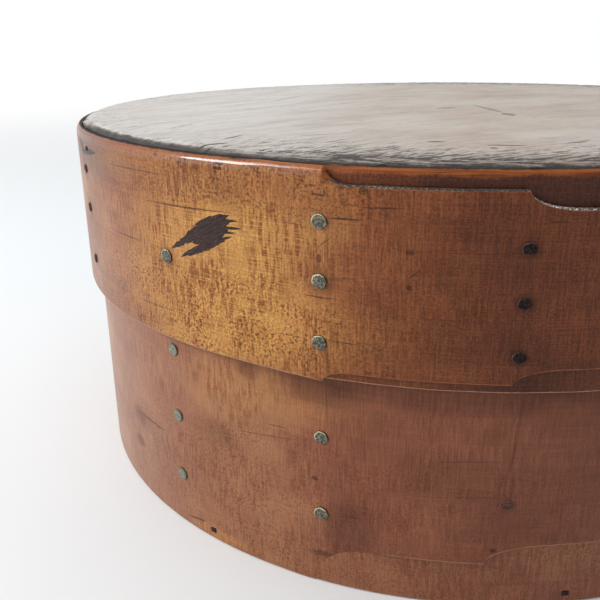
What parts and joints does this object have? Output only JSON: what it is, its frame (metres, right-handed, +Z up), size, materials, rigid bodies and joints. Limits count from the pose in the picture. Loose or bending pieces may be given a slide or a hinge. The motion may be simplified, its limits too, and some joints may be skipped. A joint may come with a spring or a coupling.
{
  "type": "cheese box",
  "caption": "Round bentwood box: a low case of one overlapped, tacked strip and a deep slip-over lid, each with nailed boards.",
  "frame": {"origin": "middle of the foot, on the surface that the box stands on", "axes": "+Z up through the middle of the lid, -Y towards the front, near where the overlaps start, +X to the right of the front"},
  "size_m": [0.39, 0.3931, 0.171],
  "materials": {
    "varnished_wood": "satin varnish",
    "weathered_wood": "bare, weathered grey",
    "plain_wood": "bare, aged",
    "green_copper": "dull verdigris",
    "dark_iron": "rusted"
  },
  "bodies": {
    "case": {"base_band": "varnished_wood", "bottom_front_board": "plain_wood", "bottom_back_board": "plain_wood", "base_lap_start_tacks": "green_copper", "base_lap_middle_tacks": "dark_iron", "base_lap_end_tacks": "green_copper", "base_inner_end_tacks": "green_copper", "base_bottom_nails": "dark_iron"},
    "lid": {"lid_band": "varnished_wood", "lid_board": "weathered_wood", "lid_lap_start_tacks": "green_copper", "lid_lap_middle_tacks": "dark_iron", "lid_lap_end_tacks": "green_copper", "lid_inner_end_tacks": "dark_iron", "lid_single_tack": "green_copper", "lid_top_nails": "dark_iron"}
  },
  "joints": [
    {"name": "lid_lift", "type": "slide", "parent": "case", "child": "lid", "axis": [0, 0, 1], "range_m": [0, 0.12]}
  ]
}
